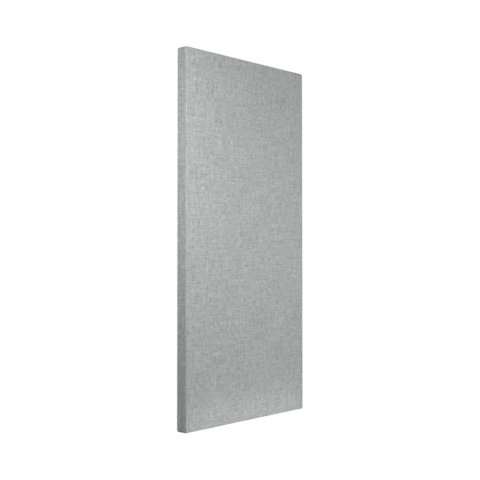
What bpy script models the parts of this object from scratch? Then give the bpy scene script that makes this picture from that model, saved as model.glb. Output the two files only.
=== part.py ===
"""Fabric-wrapped acoustic panel for a studio wall, 600 x 1200 x 40 mm.

A mitred timber frame, held square by plywood gussets and a brace let into its rebate, carries a slab of
mineral wool. A thin veil lies over the slab, and one piece of cloth is drawn over the front and the sides
and folded onto the back, over the edges of a black back cover. Two strap hangers with swinging D-rings are
screwed to the stiles, and four rubber bumpers hold the panel off the wall.

Metres, +Z up, front face towards -Y. The origin is on the wall, behind the panel's centre, where the
bumpers' faces lie.
"""

import math

import bmesh
import bpy
from mathutils import Euler, Matrix, Vector

# The whole panel, over its cloth
PANEL_WIDTH = 0.600
PANEL_HEIGHT = 1.200
PANEL_DEPTH = 0.040
CORNER_RADIUS = 0.006
FRONT_ARRIS = 0.0045
BACK_ARRIS = 0.0025
SEAT_GAP = 0.0003

# Sheets: the face cloth, the veil under it and the cover behind the slab
CLOTH_THICKNESS = 0.0010
CLOTH_RETURN = 0.028
VEIL_THICKNESS = 0.0008
BACK_COVER_THICKNESS = 0.0006
BACK_COVER_MARGIN = 0.0025

# Frame moulding: its front falls away from the cloth, inwards from a narrow lip
BATTEN_WIDTH = 0.030
LIP_WIDTH = 0.008
RELIEF = 0.0015
REBATE_WIDTH = 0.010
SHARP_CORNER = 0.0005

# Plywood let into the rebate
PLYWOOD = 0.006
GUSSET_LEG = 0.090
GUSSET_END = 0.014
GUSSET_CLIP = 0.0015
GUSSET_SCREW_FROM_END = 0.022
BRACE_WIDTH = 0.060
BRACE_SCREW_FROM_EDGE = 0.012

# Countersunk screws through the plywood
PLY_SCREW_LENGTH = 0.020
PLY_SCREW_SHANK = 0.0015
PLY_SCREW_HEAD = 0.0029
PLY_SCREW_LAND = 0.0004
PLY_SCREW_HEAD_DEPTH = 0.0018
PLY_SCREW_SINK = 0.0002

# Strap hangers: a folded steel strip with an eye at the top
HANGER_FROM_TOP = 0.150
STRAP_WIDTH = 0.0095
STRAP_METAL = 0.0008
STRAP_TAIL = 0.005
STRAP_END_RADIUS = 0.003
EYE_LEAD_OUT = math.radians(60)

# D-rings: the wire's middle line is RING_DROP high, from the bar in the eye to the bow
RING_WIRE = 0.0012
RING_PLAY = 0.0003
RING_BEND = 0.002
RING_SIDE_PLAY = 0.0004
RING_DROP = 0.016

# Pan head screws through the straps
HANGER_SCREW_LENGTH = 0.018
HANGER_SCREW_SHANK = 0.0016
HANGER_SCREW_HEAD = 0.0032
HANGER_SCREW_RIM = 0.0008
HANGER_SCREW_HEAD_HEIGHT = 0.0021
HANGER_SCREW_SPACING = 0.011
HANGER_SCREW_BELOW_RING = 0.0016

# Cross recesses as shares of the head's radius, and points as a share of the shank's
RECESS_ARM = 0.6
RECESS_WING = 0.15
RECESS_TAPER = 0.55
RECESS_DEPTH = 0.0011
POINT_LENGTH = 2.5

# Rubber bumpers
BUMPER_RADIUS = 0.0063
BUMPER_TOP_RADIUS = 0.0052
BUMPER_HEIGHT = 0.006
BUMPER_FROM_END = 0.045
BUMPER_EDGE = 0.0008

# Facets
CORNER_STEPS = 4
ARRIS_STEPS = 3
ROUND_STEPS = 12
DOME_STEPS = 3
BUMPER_STEPS = 20
EYE_STEPS = 12
BOW_STEPS = 12
BEND_STEPS = 3

# Planes across the depth, from the wall at zero: hangers and bumpers sit on the folded cloth
FITTING_Y = -BUMPER_HEIGHT
FOLD_OUTER_Y = FITTING_Y - SEAT_GAP
FOLD_INNER_Y = FOLD_OUTER_Y - CLOTH_THICKNESS
COVER_BACK_Y = FOLD_INNER_Y - SEAT_GAP
COVER_FRONT_Y = COVER_BACK_Y - BACK_COVER_THICKNESS
FRAME_BACK_Y = COVER_FRONT_Y - SEAT_GAP
PLYWOOD_FRONT_Y = FRAME_BACK_Y - PLYWOOD
REBATE_FLOOR_Y = PLYWOOD_FRONT_Y - SEAT_GAP
CLOTH_FRONT_Y = FOLD_OUTER_Y - PANEL_DEPTH
VEIL_FRONT_Y = CLOTH_FRONT_Y + CLOTH_THICKNESS + SEAT_GAP
VEIL_BACK_Y = VEIL_FRONT_Y + VEIL_THICKNESS
FRAME_FRONT_Y = VEIL_BACK_Y + SEAT_GAP

# The frame inside the cloth, which turns round its edges, and the shoulder beside its rebate
SKIN = CLOTH_THICKNESS + SEAT_GAP
FRAME_WIDTH = PANEL_WIDTH - 2 * SKIN
FRAME_HEIGHT = PANEL_HEIGHT - 2 * SKIN
FRAME_CORNER = CORNER_RADIUS - SKIN
ROUND_OVER = FRONT_ARRIS - SKIN
BACK_EASE = BACK_ARRIS - SKIN
SHOULDER = BATTEN_WIDTH - REBATE_WIDTH
MITRE_GAP = SEAT_GAP / math.sqrt(2)

# Hangers and bumpers stand along the middle of the stiles' shoulders
FITTING_X = FRAME_WIDTH / 2 - SHOULDER / 2

# The strap's eye and faces, and the ring that turns in the eye
EYE_INNER = RING_WIRE + RING_PLAY
PIVOT_Y = FITTING_Y + STRAP_METAL + EYE_INNER
PIVOT_Z = PANEL_HEIGHT / 2 - HANGER_FROM_TOP
STRAP_FRONT_Y = FITTING_Y + 2 * STRAP_METAL + SEAT_GAP
RING_LEG_X = STRAP_WIDTH / 2 + RING_SIDE_PLAY + RING_BEND

# Places below the ring's pivot
UPPER_SCREW_DROP = RING_DROP + RING_WIRE + HANGER_SCREW_BELOW_RING + HANGER_SCREW_HEAD
LOWER_SCREW_DROP = UPPER_SCREW_DROP + HANGER_SCREW_SPACING
STRAP_DROP = LOWER_SCREW_DROP + STRAP_TAIL

# A ring that hangs rests on its strap, so it leans out a little
RING_LEAN = math.asin((STRAP_FRONT_Y + SEAT_GAP + RING_WIRE - PIVOT_Y) / RING_DROP)

QUARTER = math.pi / 2

# Screws and bumpers are turned about Z with their heads up, then laid with their heads to the back
HEAD_TO_BACK = (-QUARTER, 0.0, 0.0)

SIDES = (("left", -1), ("right", 1))
LEVELS = (("top", 1), ("bottom", -1))


def clear_scene():
    for old in list(bpy.data.objects):
        bpy.data.objects.remove(old)


def finish_of(name, colour, roughness, metallic=0.0):
    made = bpy.data.materials.new(name)
    made.use_nodes = True
    shader = made.node_tree.nodes["Principled BSDF"]
    shader.inputs["Base Color"].default_value = (*colour, 1.0)
    shader.inputs["Roughness"].default_value = roughness
    shader.inputs["Metallic"].default_value = metallic
    return made


def make_finishes():
    return {
        "cloth": finish_of("grey_melange_cloth", (0.42, 0.43, 0.425), 0.95),
        "veil": finish_of("white_tissue_veil", (0.75, 0.75, 0.72), 0.9),
        "back_cover": finish_of("black_nonwoven", (0.018, 0.018, 0.019), 0.9),
        "timber": finish_of("planed_pine", (0.62, 0.44, 0.25), 0.6),
        "plywood": finish_of("birch_plywood", (0.60, 0.46, 0.30), 0.6),
        "wool": finish_of("mineral_wool", (0.36, 0.32, 0.17), 1.0),
        "steel": finish_of("zinc_plated_steel", (0.62, 0.62, 0.60), 0.35, 1.0),
        "rubber": finish_of("black_rubber", (0.02, 0.02, 0.02), 0.7),
    }


def placed(name, shape, finish, location=(0, 0, 0), rotation=(0, 0, 0), parent=None):
    """One sub-part of the panel, from a mesh or a curve that others may share."""
    part = bpy.data.objects.new(name, shape)
    bpy.context.scene.collection.objects.link(part)
    if not shape.materials:
        shape.materials.append(finish)
    part.location = location
    part.rotation_euler = rotation
    part.parent = parent
    return part


def mesh_from(name, bm, smooth_below=40):
    """Faces that meet at less than this angle, in degrees, are shaded as one surface."""
    bmesh.ops.recalc_face_normals(bm, faces=bm.faces)
    mesh = bpy.data.meshes.new(name)
    bm.to_mesh(mesh)
    bm.free()
    mesh.shade_smooth()
    mesh.set_sharp_from_angle(angle=math.radians(smooth_below))
    return mesh


def arc(centre, radius, start, end, steps):
    """Points of an arc in a plane, with both its ends."""
    turns = [start + (end - start) * i / steps for i in range(steps + 1)]
    return [(centre[0] + radius * math.cos(t), centre[1] + radius * math.sin(t)) for t in turns]


def loft(name, sections):
    """A closed skin over rows of points with equal counts, capped at the first and the last row."""
    bm = bmesh.new()
    rows = [[bm.verts.new(point) for point in section] for section in sections]
    count = len(rows[0])
    for near, far in zip(rows, rows[1:]):
        for i in range(count):
            bm.faces.new((near[i], near[(i + 1) % count], far[(i + 1) % count], far[i]))
    bm.faces.new(rows[0])
    bm.faces.new(rows[-1])
    return mesh_from(name, bm)


def prism(name, outline, low, high, taper=1.0):
    """An outline in X and Z, extruded along Y. Taper scales the outline at its low end."""
    near = [(x * taper, low, z * taper) for x, z in outline]
    far = [(x, high, z) for x, z in outline]
    return loft(name, (near, far))


def turned(name, profile, steps=ROUND_STEPS):
    """A solid of revolution about Z. The profile's ends lie on the axis."""
    bm = bmesh.new()
    top, *outline, end = profile
    rings = []
    for radius, z in outline:
        rings.append([bm.verts.new((x, y, z)) for x, y in arc((0, 0), radius, 0, math.tau, steps)[:-1]])
    for near, far in zip(rings, rings[1:]):
        for i in range(steps):
            bm.faces.new((near[i], near[(i + 1) % steps], far[(i + 1) % steps], far[i]))
    for pole, ring in ((top, rings[0]), (end, rings[-1])):
        centre = bm.verts.new((0, 0, pole[1]))
        for i in range(steps):
            bm.faces.new((centre, ring[i], ring[(i + 1) % steps]))
    return mesh_from(name, bm)


def rounded_rectangle(width, height, radius):
    """The outline of a rectangle with round corners, in X and Z about the origin."""
    across, up = width / 2 - radius, height / 2 - radius
    outline = []
    for quarter, (x, z) in enumerate(((across, up), (-across, up), (-across, -up), (across, -up))):
        start = quarter * QUARTER
        outline += arc((x, z), radius, start, start + QUARTER, CORNER_STEPS)
    return outline


def panel_outline(inset):
    """The panel's outline moved in by inset. Its corners keep their centres while they have a radius left."""
    radius = max(CORNER_RADIUS - inset, SHARP_CORNER)
    return rounded_rectangle(PANEL_WIDTH - 2 * inset, PANEL_HEIGHT - 2 * inset, radius)


def cut_at(target, cutter, places, turn=HEAD_TO_BACK):
    """Cuts the cutter out of the target at each place. The places are apart, so it is one Boolean."""
    bm = bmesh.new()
    for place in places:
        copy = cutter.copy()
        copy.transform(Matrix.LocRotScale(Vector(place), Euler(turn), None))
        bm.from_mesh(copy)
        bpy.data.meshes.remove(copy)
    holes = bpy.data.objects.new(f"{target.name}_{cutter.name}", mesh_from(cutter.name, bm))
    bpy.context.scene.collection.objects.link(holes)
    holes.hide_render = True
    holes.display_type = "WIRE"
    drill = target.modifiers.new(cutter.name, "BOOLEAN")
    drill.operation = "DIFFERENCE"
    drill.solver = "EXACT"
    drill.object = holes


def applied(target):
    """The target's mesh as its cuts leave it. The target and its cutters are removed."""
    graph = bpy.context.evaluated_depsgraph_get()
    mesh = bpy.data.meshes.new_from_object(target.evaluated_get(graph))
    for used in [modifier.object for modifier in target.modifiers] + [target]:
        bpy.data.objects.remove(used)
    return mesh


def make_face_cloth(finish):
    """One cloth of an even thickness over the front, the four sides and a return on the back."""
    front = (FRONT_ARRIS, CLOTH_FRONT_Y + FRONT_ARRIS)
    back = (BACK_ARRIS, FOLD_OUTER_Y - BACK_ARRIS)
    section = arc(front, FRONT_ARRIS, -QUARTER, -2 * QUARTER, ARRIS_STEPS)
    section += arc(back, BACK_ARRIS, 2 * QUARTER, QUARTER, ARRIS_STEPS)
    section += [(CLOTH_RETURN, FOLD_OUTER_Y), (CLOTH_RETURN, FOLD_INNER_Y)]
    section += arc(back, BACK_ARRIS - CLOTH_THICKNESS, QUARTER, 2 * QUARTER, ARRIS_STEPS)
    section += arc(front, FRONT_ARRIS - CLOTH_THICKNESS, -2 * QUARTER, -QUARTER, ARRIS_STEPS)
    rows = [[(x, y, z) for x, z in panel_outline(inset)] for inset, y in section]
    return placed("face_cloth", loft("face_cloth", rows), finish)


def make_front_veil(finish):
    """The veil reaches to where the cloth turns round the front edges."""
    mesh = prism("front_veil", panel_outline(FRONT_ARRIS), VEIL_FRONT_Y, VEIL_BACK_Y)
    placed("front_veil", mesh, finish)


def make_back_cover(finish):
    outline = panel_outline(BACK_ARRIS + BACK_COVER_MARGIN)
    return placed("back_cover", prism("back_cover", outline, COVER_FRONT_Y, COVER_BACK_Y), finish)


def make_wool_slab(finish):
    """The slab fills the frame from its front to the floor of its rebate."""
    inset = 2 * (BATTEN_WIDTH + SEAT_GAP)
    outline = rounded_rectangle(FRAME_WIDTH - inset, FRAME_HEIGHT - inset, SHARP_CORNER)
    placed("wool_slab", prism("wool_slab", outline, FRAME_FRONT_Y, REBATE_FLOOR_Y), finish)


def moulding():
    """The frame's cross section as (distance in from its outer face, y)."""
    nose = arc((ROUND_OVER, FRAME_FRONT_Y + ROUND_OVER), ROUND_OVER, -QUARTER, -2 * QUARTER, ARRIS_STEPS)
    return [
        *nose,
        (0.0, FRAME_BACK_Y - BACK_EASE),
        (BACK_EASE, FRAME_BACK_Y),
        (SHOULDER, FRAME_BACK_Y),
        (SHOULDER, REBATE_FLOOR_Y),
        (BATTEN_WIDTH, REBATE_FLOOR_Y),
        (BATTEN_WIDTH, FRAME_FRONT_Y + RELIEF),
        (LIP_WIDTH, FRAME_FRONT_Y),
    ]


def mitred_batten(name, finish, turn, along, across):
    """Modelled as the top rail, along X, then turned to its side. Each mitre takes half of a corner's arc."""
    lines = []
    for inset, y in moulding():
        radius = max(FRAME_CORNER - inset, SHARP_CORNER)
        centre = (along / 2 - inset - radius, across / 2 - inset - radius)
        corner = arc(centre, radius, QUARTER / 2, QUARTER, CORNER_STEPS // 2)
        right = [(x - MITRE_GAP, y, z) for x, z in corner]
        left = [(-x, y, z) for x, y, z in reversed(right)]
        lines.append(right + left)
    return placed(name, loft(name, list(zip(*lines))), finish, rotation=(0, turn, 0))


def make_frame(finish):
    return {
        "top_rail": mitred_batten("top_rail", finish, 0, FRAME_WIDTH, FRAME_HEIGHT),
        "right_stile": mitred_batten("right_stile", finish, QUARTER, FRAME_HEIGHT, FRAME_WIDTH),
        "bottom_rail": mitred_batten("bottom_rail", finish, 2 * QUARTER, FRAME_WIDTH, FRAME_HEIGHT),
        "left_stile": mitred_batten("left_stile", finish, 3 * QUARTER, FRAME_HEIGHT, FRAME_WIDTH),
    }


def countersunk(clearance=0.0, opening=0.0):
    """A screw's profile, the top of its head at zero. With a clearance it is the screw's hole."""
    return [
        (0, opening),
        (PLY_SCREW_HEAD + clearance, opening),
        (PLY_SCREW_HEAD + clearance, -PLY_SCREW_LAND - clearance),
        (PLY_SCREW_SHANK + clearance, -PLY_SCREW_HEAD_DEPTH - clearance),
        (PLY_SCREW_SHANK + clearance, -PLY_SCREW_LENGTH + POINT_LENGTH * PLY_SCREW_SHANK),
        (0, -PLY_SCREW_LENGTH - clearance),
    ]


def pan_head():
    """A screw's profile, the underside of its domed head at zero."""
    dome = []
    for i in range(1, DOME_STEPS + 1):
        turn = QUARTER * (1 - i / DOME_STEPS)
        rise = (HANGER_SCREW_HEAD_HEIGHT - HANGER_SCREW_RIM) * math.sin(turn)
        dome.append((HANGER_SCREW_HEAD * math.cos(turn), HANGER_SCREW_RIM + rise))
    return [
        (0, HANGER_SCREW_HEAD_HEIGHT),
        *dome,
        (HANGER_SCREW_HEAD, 0),
        (HANGER_SCREW_SHANK, 0),
        (HANGER_SCREW_SHANK, -HANGER_SCREW_LENGTH + POINT_LENGTH * HANGER_SCREW_SHANK),
        (0, -HANGER_SCREW_LENGTH),
    ]


def hanger_screw_hole():
    """The hole of a pan head screw, open above its strap."""
    radius = HANGER_SCREW_SHANK + SEAT_GAP
    tip = -HANGER_SCREW_LENGTH - SEAT_GAP
    shank_end = -HANGER_SCREW_LENGTH + POINT_LENGTH * HANGER_SCREW_SHANK
    return turned("hanger_screw_hole", [(0, SEAT_GAP), (radius, SEAT_GAP), (radius, shank_end), (0, tip)])


def ply_screw_hole():
    """The hole of a countersunk screw, open above the plywood that it is sunk into."""
    return turned("ply_screw_hole", countersunk(SEAT_GAP, PLY_SCREW_SINK + SEAT_GAP))


def cross_recess(head_radius):
    """A tapered cross that a driver fits, in X and Z."""
    arm, wing = RECESS_ARM * head_radius, RECESS_WING * head_radius
    outline = []
    for i in range(4):
        cos, sin = math.cos(i * QUARTER), math.sin(i * QUARTER)
        for x, z in ((wing, wing), (wing, arm), (-wing, arm)):
            outline.append((x * cos - z * sin, x * sin + z * cos))
    return prism("recess", outline, -RECESS_DEPTH, RECESS_DEPTH, RECESS_TAPER)


def screw(name, profile, head_radius, finish):
    """A screw with its recess, for every screw of its kind to share."""
    blank = placed(name, turned(name, profile), finish)
    head_top = profile[0][1]
    cut_at(blank, cross_recess(head_radius), [(0, 0, head_top)], (QUARTER, 0, 0))
    return applied(blank)


def gusset_screw_places():
    """Two screws in each gusset, one into the rail's ledge and one into the stile's."""
    y = FRAME_BACK_Y - PLY_SCREW_SINK
    ledge = SHOULDER + REBATE_WIDTH / 2
    reach = SHOULDER + SEAT_GAP + GUSSET_LEG - GUSSET_SCREW_FROM_END
    places = {}
    for level, up in LEVELS:
        for side, out in SIDES:
            on_rail = (out * (FRAME_WIDTH / 2 - reach), y, up * (FRAME_HEIGHT / 2 - ledge))
            on_stile = (out * (FRAME_WIDTH / 2 - ledge), y, up * (FRAME_HEIGHT / 2 - reach))
            places[f"gusset_screw_{level}_{side}_rail"] = on_rail
            places[f"gusset_screw_{level}_{side}_stile"] = on_stile
    return places


def brace_screw_places():
    """Two screws at each end of the brace, into the stiles' ledges."""
    y = FRAME_BACK_Y - PLY_SCREW_SINK
    x = FRAME_WIDTH / 2 - SHOULDER - REBATE_WIDTH / 2
    z = BRACE_WIDTH / 2 - BRACE_SCREW_FROM_EDGE
    places = {}
    for side, out in SIDES:
        for level, up in (("upper", 1), ("lower", -1)):
            places[f"brace_screw_{side}_{level}"] = (out * x, y, up * z)
    return places


def hanger_screw_places():
    """Two screws in each strap, below its ring."""
    places = {}
    for side, out in SIDES:
        for level, drop in (("upper", UPPER_SCREW_DROP), ("lower", LOWER_SCREW_DROP)):
            place = (out * FITTING_X, STRAP_FRONT_Y + SEAT_GAP, PIVOT_Z - drop)
            places[f"hanger_screw_{side}_{level}"] = place
    return places


def make_gussets(finish, hole, screws):
    """Plywood triangles in the rebate's corners, with blunt ends and a clipped right angle."""
    outline = [
        (-GUSSET_CLIP, 0),
        (-GUSSET_LEG, 0),
        (-GUSSET_LEG, -GUSSET_END),
        (-GUSSET_END, -GUSSET_LEG),
        (0, -GUSSET_LEG),
        (0, -GUSSET_CLIP),
    ]
    mesh = prism("gusset", outline, PLYWOOD_FRONT_Y, FRAME_BACK_Y)
    seat = SHOULDER + SEAT_GAP
    corners = (("top_right", 1, 1), ("bottom_right", 1, -1), ("bottom_left", -1, -1), ("top_left", -1, 1))
    for turns, (corner, out, up) in enumerate(corners):
        where = (out * (FRAME_WIDTH / 2 - seat), 0, up * (FRAME_HEIGHT / 2 - seat))
        gusset = placed(f"gusset_{corner}", mesh, finish, where, (0, turns * QUARTER, 0))
        cut_at(gusset, hole, [place for name, place in screws.items() if corner in name])


def make_back_brace(finish, hole, screws):
    """A plywood strip across the middle, let into the stiles' rebates."""
    length = FRAME_WIDTH - 2 * (SHOULDER + SEAT_GAP)
    outline = rounded_rectangle(length, BRACE_WIDTH, SHARP_CORNER)
    brace = placed("back_brace", prism("back_brace", outline, PLYWOOD_FRONT_Y, FRAME_BACK_Y), finish)
    cut_at(brace, hole, screws.values())


def strap_line():
    """The folded strip's middle line, as (out from the cloth, up from the pivot)."""
    pivot = STRAP_METAL + EYE_INNER
    back = STRAP_METAL / 2
    front = STRAP_METAL + SEAT_GAP + STRAP_METAL / 2
    eye = arc((pivot, 0), EYE_INNER + STRAP_METAL / 2, 2 * QUARTER, -EYE_LEAD_OUT, EYE_STEPS)
    leave_out, leave_up = eye[-1]
    fold_up = leave_up - (leave_out - front) / math.tan(EYE_LEAD_OUT)
    return [(back, -STRAP_DROP), *eye, (front, fold_up), (front, -STRAP_DROP)]


def beside(line, distance):
    """The line moved sideways by distance, with mitred bends."""
    points = [Vector(point) for point in line]
    ways = [(end - start).normalized() for start, end in zip(points, points[1:])]
    sides = [Vector((-way.y, way.x)) for way in ways]
    moved = [points[0] + sides[0] * distance]
    for point, before, after in zip(points[1:-1], sides, sides[1:]):
        bisector = (before + after).normalized()
        moved.append(point + bisector * distance / bisector.dot(before))
    moved.append(points[-1] + sides[-1] * distance)
    return moved


def strap_mesh():
    """The strip bent round its eye, with round corners at both of its lower ends."""
    line = strap_line()
    outline = beside(line, STRAP_METAL / 2) + beside(line, -STRAP_METAL / 2)[::-1]
    rows = [[(x, y, z) for y, z in outline] for x in (-STRAP_WIDTH / 2, STRAP_WIDTH / 2)]
    bm = bmesh.new()
    bm.from_mesh(loft("hanger_strap", rows))
    low = [edge for edge in bm.edges if all(vert.co.z < SEAT_GAP - STRAP_DROP for vert in edge.verts)]
    corners = [edge for edge in low if abs(edge.verts[0].co.x - edge.verts[1].co.x) < SEAT_GAP]
    bmesh.ops.bevel(
        bm, geom=corners, offset=STRAP_END_RADIUS, segments=BEND_STEPS, profile=0.5, affect="EDGES"
    )
    return mesh_from("hanger_strap", bm)


def ring_curve():
    """The wire's middle line: the bar in the eye at the top, two legs and a round bow."""
    bar = RING_LEG_X - RING_BEND
    points = arc((bar, -RING_BEND), RING_BEND, QUARTER, 0, BEND_STEPS)
    points += arc((0, RING_LEG_X - RING_DROP), RING_LEG_X, 0, -2 * QUARTER, BOW_STEPS)
    points += arc((-bar, -RING_BEND), RING_BEND, 2 * QUARTER, QUARTER, BEND_STEPS)
    curve = bpy.data.curves.new("hanger_ring", "CURVE")
    curve.dimensions = "3D"
    wire = curve.splines.new("POLY")
    wire.points.add(len(points) - 1)
    for point, (x, z) in zip(wire.points, points):
        point.co = (x, 0, z, 1)
    wire.use_cyclic_u = True
    curve.bevel_depth = RING_WIRE
    curve.bevel_resolution = 3
    return curve


def make_hangers(finish, hole, screws):
    """A strap on each stile, and a ring that turns about the middle of the strap's eye."""
    strap = strap_mesh()
    ring = ring_curve()
    for side, out in SIDES:
        where = (out * FITTING_X, FITTING_Y, PIVOT_Z)
        plate = placed(f"hanger_strap_{side}", strap, finish, where)
        cut_at(plate, hole, [place for name, place in screws.items() if side in name])
        pivot = bpy.data.objects.new(f"ring_pivot_{side}", None)
        bpy.context.scene.collection.objects.link(pivot)
        pivot.location = (out * FITTING_X, PIVOT_Y, PIVOT_Z)
        placed(f"hanger_ring_{side}", ring, finish, rotation=(RING_LEAN, 0, 0), parent=pivot)


def make_bumpers(finish):
    """Tapered rubber feet near the corners, thicker than the hangers."""
    profile = [
        (0, 0),
        (BUMPER_RADIUS, 0),
        (BUMPER_RADIUS, BUMPER_EDGE),
        (BUMPER_TOP_RADIUS, BUMPER_HEIGHT - BUMPER_EDGE),
        (BUMPER_TOP_RADIUS - BUMPER_EDGE, BUMPER_HEIGHT),
        (0, BUMPER_HEIGHT),
    ]
    mesh = turned("bumper", profile, BUMPER_STEPS)
    for level, up in LEVELS:
        for side, out in SIDES:
            where = (out * FITTING_X, FITTING_Y, up * (PANEL_HEIGHT / 2 - BUMPER_FROM_END))
            placed(f"bumper_{level}_{side}", mesh, finish, where, HEAD_TO_BACK)


def drill_frame(frame, ply_hole, ply_screws, hanger_hole, hanger_screws):
    """Each batten gets the holes of the screws that end in it."""
    for name, batten in frame.items():
        end, member = name.split("_")
        mine = []
        for screw_name, place in ply_screws.items():
            into_stile = screw_name.endswith("stile") or screw_name.startswith("brace")
            if end in screw_name and into_stile == (member == "stile"):
                mine.append(place)
        cut_at(batten, ply_hole, mine)
        if member == "stile":
            cut_at(batten, hanger_hole, [place for key, place in hanger_screws.items() if end in key])


def shade_drilled_parts():
    """Flat faces still look flat beside the holes drilled in them."""
    for part in bpy.context.scene.objects:
        if part.modifiers:
            part.modifiers.new("flat_faces", "WEIGHTED_NORMAL").keep_sharp = True


def build_panel():
    clear_scene()
    finishes = make_finishes()
    steel = finishes["steel"]
    gusset_screws = gusset_screw_places()
    brace_screws = brace_screw_places()
    hanger_screws = hanger_screw_places()
    ply_screws = {**gusset_screws, **brace_screws}
    ply_hole = ply_screw_hole()
    hanger_hole = hanger_screw_hole()

    frame = make_frame(finishes["timber"])
    drill_frame(frame, ply_hole, ply_screws, hanger_hole, hanger_screws)
    make_gussets(finishes["plywood"], ply_hole, gusset_screws)
    make_back_brace(finishes["plywood"], ply_hole, brace_screws)
    make_wool_slab(finishes["wool"])
    make_front_veil(finishes["veil"])
    for sheet in (make_back_cover(finishes["back_cover"]), make_face_cloth(finishes["cloth"])):
        cut_at(sheet, hanger_hole, hanger_screws.values())
    make_hangers(steel, hanger_hole, hanger_screws)
    make_bumpers(finishes["rubber"])
    shade_drilled_parts()

    ply_screw = screw("ply_screw", countersunk(), PLY_SCREW_HEAD, steel)
    for name, place in ply_screws.items():
        placed(name, ply_screw, steel, place, HEAD_TO_BACK)
    hanger_screw = screw("hanger_screw", pan_head(), HANGER_SCREW_HEAD, steel)
    for name, place in hanger_screws.items():
        placed(name, hanger_screw, steel, place, HEAD_TO_BACK)


build_panel()
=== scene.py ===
"""Looks of the fabric acoustic panel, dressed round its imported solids. Metres, front towards -Y."""

import math
import random

import bpy
import numpy as np
from mathutils import Matrix, Vector, noise


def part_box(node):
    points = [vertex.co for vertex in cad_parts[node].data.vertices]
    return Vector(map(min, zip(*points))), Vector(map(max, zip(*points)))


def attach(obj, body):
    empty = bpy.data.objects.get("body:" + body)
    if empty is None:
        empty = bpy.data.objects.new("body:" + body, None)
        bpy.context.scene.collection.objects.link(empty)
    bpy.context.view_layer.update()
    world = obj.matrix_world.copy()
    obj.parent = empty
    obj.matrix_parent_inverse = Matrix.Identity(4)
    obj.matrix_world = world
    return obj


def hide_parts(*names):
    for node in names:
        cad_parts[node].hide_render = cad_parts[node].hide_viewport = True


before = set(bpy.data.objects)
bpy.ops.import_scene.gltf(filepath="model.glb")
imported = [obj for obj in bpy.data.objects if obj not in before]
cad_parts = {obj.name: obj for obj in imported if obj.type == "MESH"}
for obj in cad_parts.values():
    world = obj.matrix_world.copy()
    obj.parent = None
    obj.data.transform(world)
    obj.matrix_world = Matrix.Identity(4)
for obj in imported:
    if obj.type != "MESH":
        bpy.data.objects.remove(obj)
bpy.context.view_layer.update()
scene = bpy.context.scene
scene.view_settings.view_transform = "Standard"


# Camera
# A plain 68 mm lens at about the height of the panel's middle. It stands three metres away, to the left of
# the front, so that the narrow left side shows beside the front.
camera = bpy.data.objects.new("camera", bpy.data.cameras.new("camera"))
scene.collection.objects.link(camera)
scene.camera = camera
camera.data.sensor_width = 36.0
camera.data.lens = 68.49
camera.data.shift_y = -0.0229
camera.location = (-2.3355, -2.0154, -0.0418)
looking = Vector((0.75829, 0.65192, 0.02537))
camera.rotation_euler = looking.to_track_quat("-Z", "Y").to_euler()


# Studio
# A pale floor under the panel, and a white world that gives a weak light from all round. A key light stands
# on the left, a broad soft light in front, a narrow one close to the front's bottom edge, and a large one
# high behind on the right.
def shader_node(tree, kind, inputs, **settings):
    """A shader node's outputs. Each input is a value, or another node's output that is joined to it."""
    made = tree.nodes.new(f"ShaderNode{kind}")
    for name, value in settings.items():
        setattr(made, name, value)
    for key, value in inputs.items():
        if isinstance(value, bpy.types.NodeSocket):
            tree.links.new(value, made.inputs[key])
        else:
            made.inputs[key].default_value = value
    return made.outputs


def calculated(tree, operation, first, second=0.0, third=0.0):
    return shader_node(tree, "Math", {0: first, 1: second, 2: third}, operation=operation)[0]


def seen_directly(tree):
    """One where a ray comes from the camera, a mirror or glass, and zero for light on the panel."""
    ray = shader_node(tree, "LightPath", {})
    mirrored = calculated(tree, "MAXIMUM", ray["Is Glossy Ray"], ray["Is Transmission Ray"])
    return calculated(tree, "MAXIMUM", ray["Is Camera Ray"], mirrored)


WORLD_LIGHT = 0.22
world = bpy.data.worlds.new("studio")
scene.world = world
world.use_nodes = True
tree = world.node_tree
strength = calculated(tree, "MULTIPLY_ADD", seen_directly(tree), 1.0 - WORLD_LIGHT, WORLD_LIGHT)
background = tree.nodes["Background"]
background.inputs["Color"].default_value = (1.0, 1.0, 1.0, 1.0)
tree.links.new(strength, background.inputs["Strength"])

FLOOR_Z = -1.5
FLOOR_RADIUS = 2.5
FADE_START, FADE_END = 0.9, 2.3
WHITE_AT_START = 0.6
bpy.ops.object.select_all(action="DESELECT")
bpy.ops.mesh.primitive_circle_add(vertices=96, radius=FLOOR_RADIUS, fill_type="NGON")
floor = bpy.context.object
floor.name = "floor"
floor.location.z = FLOOR_Z
floor_paint = bpy.data.materials.new("pale_floor")
floor_paint.use_nodes = True
tree = floor_paint.node_tree
paint = tree.nodes["Principled BSDF"]
paint.inputs["Roughness"].default_value = 0.9
place = shader_node(tree, "TexCoord", {})["Object"]
grain = shader_node(tree, "TexNoise", {"Vector": place, "Scale": 6.0, "Detail": 3.0})["Fac"]
tone = shader_node(tree, "ValToRGB", {"Fac": grain})
tone["Color"].node.color_ramp.elements[0].color = (0.58, 0.58, 0.58, 1.0)
tone["Color"].node.color_ramp.elements[1].color = (0.62, 0.62, 0.62, 1.0)
tree.links.new(tone["Color"], paint.inputs["Base Color"])
distance = shader_node(tree, "VectorMath", {0: place}, operation="LENGTH")["Value"]
fade_range = {"Value": distance, 1: FADE_START, 2: FADE_END}
fade = shader_node(tree, "MapRange", fade_range, interpolation_type="SMOOTHSTEP")[0]
white = shader_node(tree, "Emission", {"Color": (1.0, 1.0, 1.0, 1.0), "Strength": 1.0})[0]
pale = shader_node(tree, "MapRange", {"Value": fade, 3: WHITE_AT_START, 4: 1.0})[0]
share = calculated(tree, "MULTIPLY", pale, seen_directly(tree))
shown = shader_node(tree, "MixShader", {0: share, 1: paint.outputs[0], 2: white})[0]
tree.links.new(shown, tree.nodes["Material Output"].inputs["Surface"])
floor.data.materials.append(floor_paint)


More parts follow.
